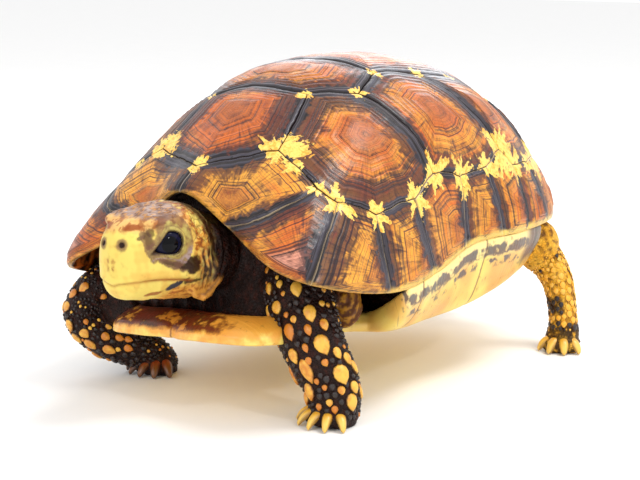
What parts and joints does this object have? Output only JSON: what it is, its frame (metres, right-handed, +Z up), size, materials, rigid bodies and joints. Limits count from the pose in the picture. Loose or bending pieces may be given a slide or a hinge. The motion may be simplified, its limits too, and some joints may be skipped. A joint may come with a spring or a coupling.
{
  "type": "forest hinge-back tortoise model",
  "caption": "Life-size still model of a walking forest hinge-back tortoise: domed shell of growth-ringed plates, flared rim, scaly legs, hooked beak.",
  "frame": {"origin": "middle of the animal's whole box, on the floor that it stands on", "axes": "the animal faces -Y, its left side is +X, +Z is up"},
  "size_m": [0.136, 0.2105, 0.1154],
  "materials": {
    "scute": "horn with dark concentric growth rings, satin",
    "marginal": "orange-brown horn with dark wedges along the seams, satin",
    "plastron": "pale yellow horn with dark smudges, satin",
    "dark_skin": "near-black scaly skin, matt",
    "pale_skin": "yellow-brown scaly skin with dark spots, matt",
    "face": "yellow horny beak and mottled brown scales",
    "eye": "wet black"
  },
  "bodies": {
    "root": {"vertebral_1": "scute", "vertebral_2": "scute", "vertebral_3": "scute", "vertebral_4": "scute", "vertebral_5": "scute", "costal_left_1": "scute", "costal_left_2": "scute", "costal_left_3": "scute", "costal_left_4": "scute", "costal_right_1": "scute", "costal_right_2": "scute", "costal_right_3": "scute", "costal_right_4": "scute", "marginal_left_1": "marginal", "marginal_left_2": "marginal", "marginal_left_3": "marginal", "marginal_left_4": "marginal", "marginal_left_5": "marginal", "marginal_left_6": "marginal", "marginal_left_7": "marginal", "marginal_left_8": "marginal", "marginal_left_9": "marginal", "marginal_left_10": "marginal", "marginal_left_11": "marginal", "marginal_right_1": "marginal", "marginal_right_2": "marginal", "marginal_right_3": "marginal", "marginal_right_4": "marginal", "marginal_right_5": "marginal", "marginal_right_6": "marginal", "marginal_right_7": "marginal", "marginal_right_8": "marginal", "marginal_right_9": "marginal", "marginal_right_10": "marginal", "marginal_right_11": "marginal", "supracaudal": "marginal", "plastron": "plastron", "trunk": "dark_skin", "neck": "dark_skin", "head": "face", "jaw": "face", "eye_left": "eye", "eye_right": "eye", "foreleg_left_upper": "dark_skin", "foreleg_left_lower": "dark_skin", "foreleg_left_foot": "dark_skin", "foreleg_right_upper": "dark_skin", "foreleg_right_lower": "dark_skin", "foreleg_right_foot": "dark_skin", "hindleg_left_upper": "pale_skin", "hindleg_left_lower": "pale_skin", "hindleg_left_foot": "pale_skin", "hindleg_right_upper": "pale_skin", "hindleg_right_lower": "pale_skin", "hindleg_right_foot": "pale_skin", "tail": "pale_skin"}
  },
  "joints": []
}
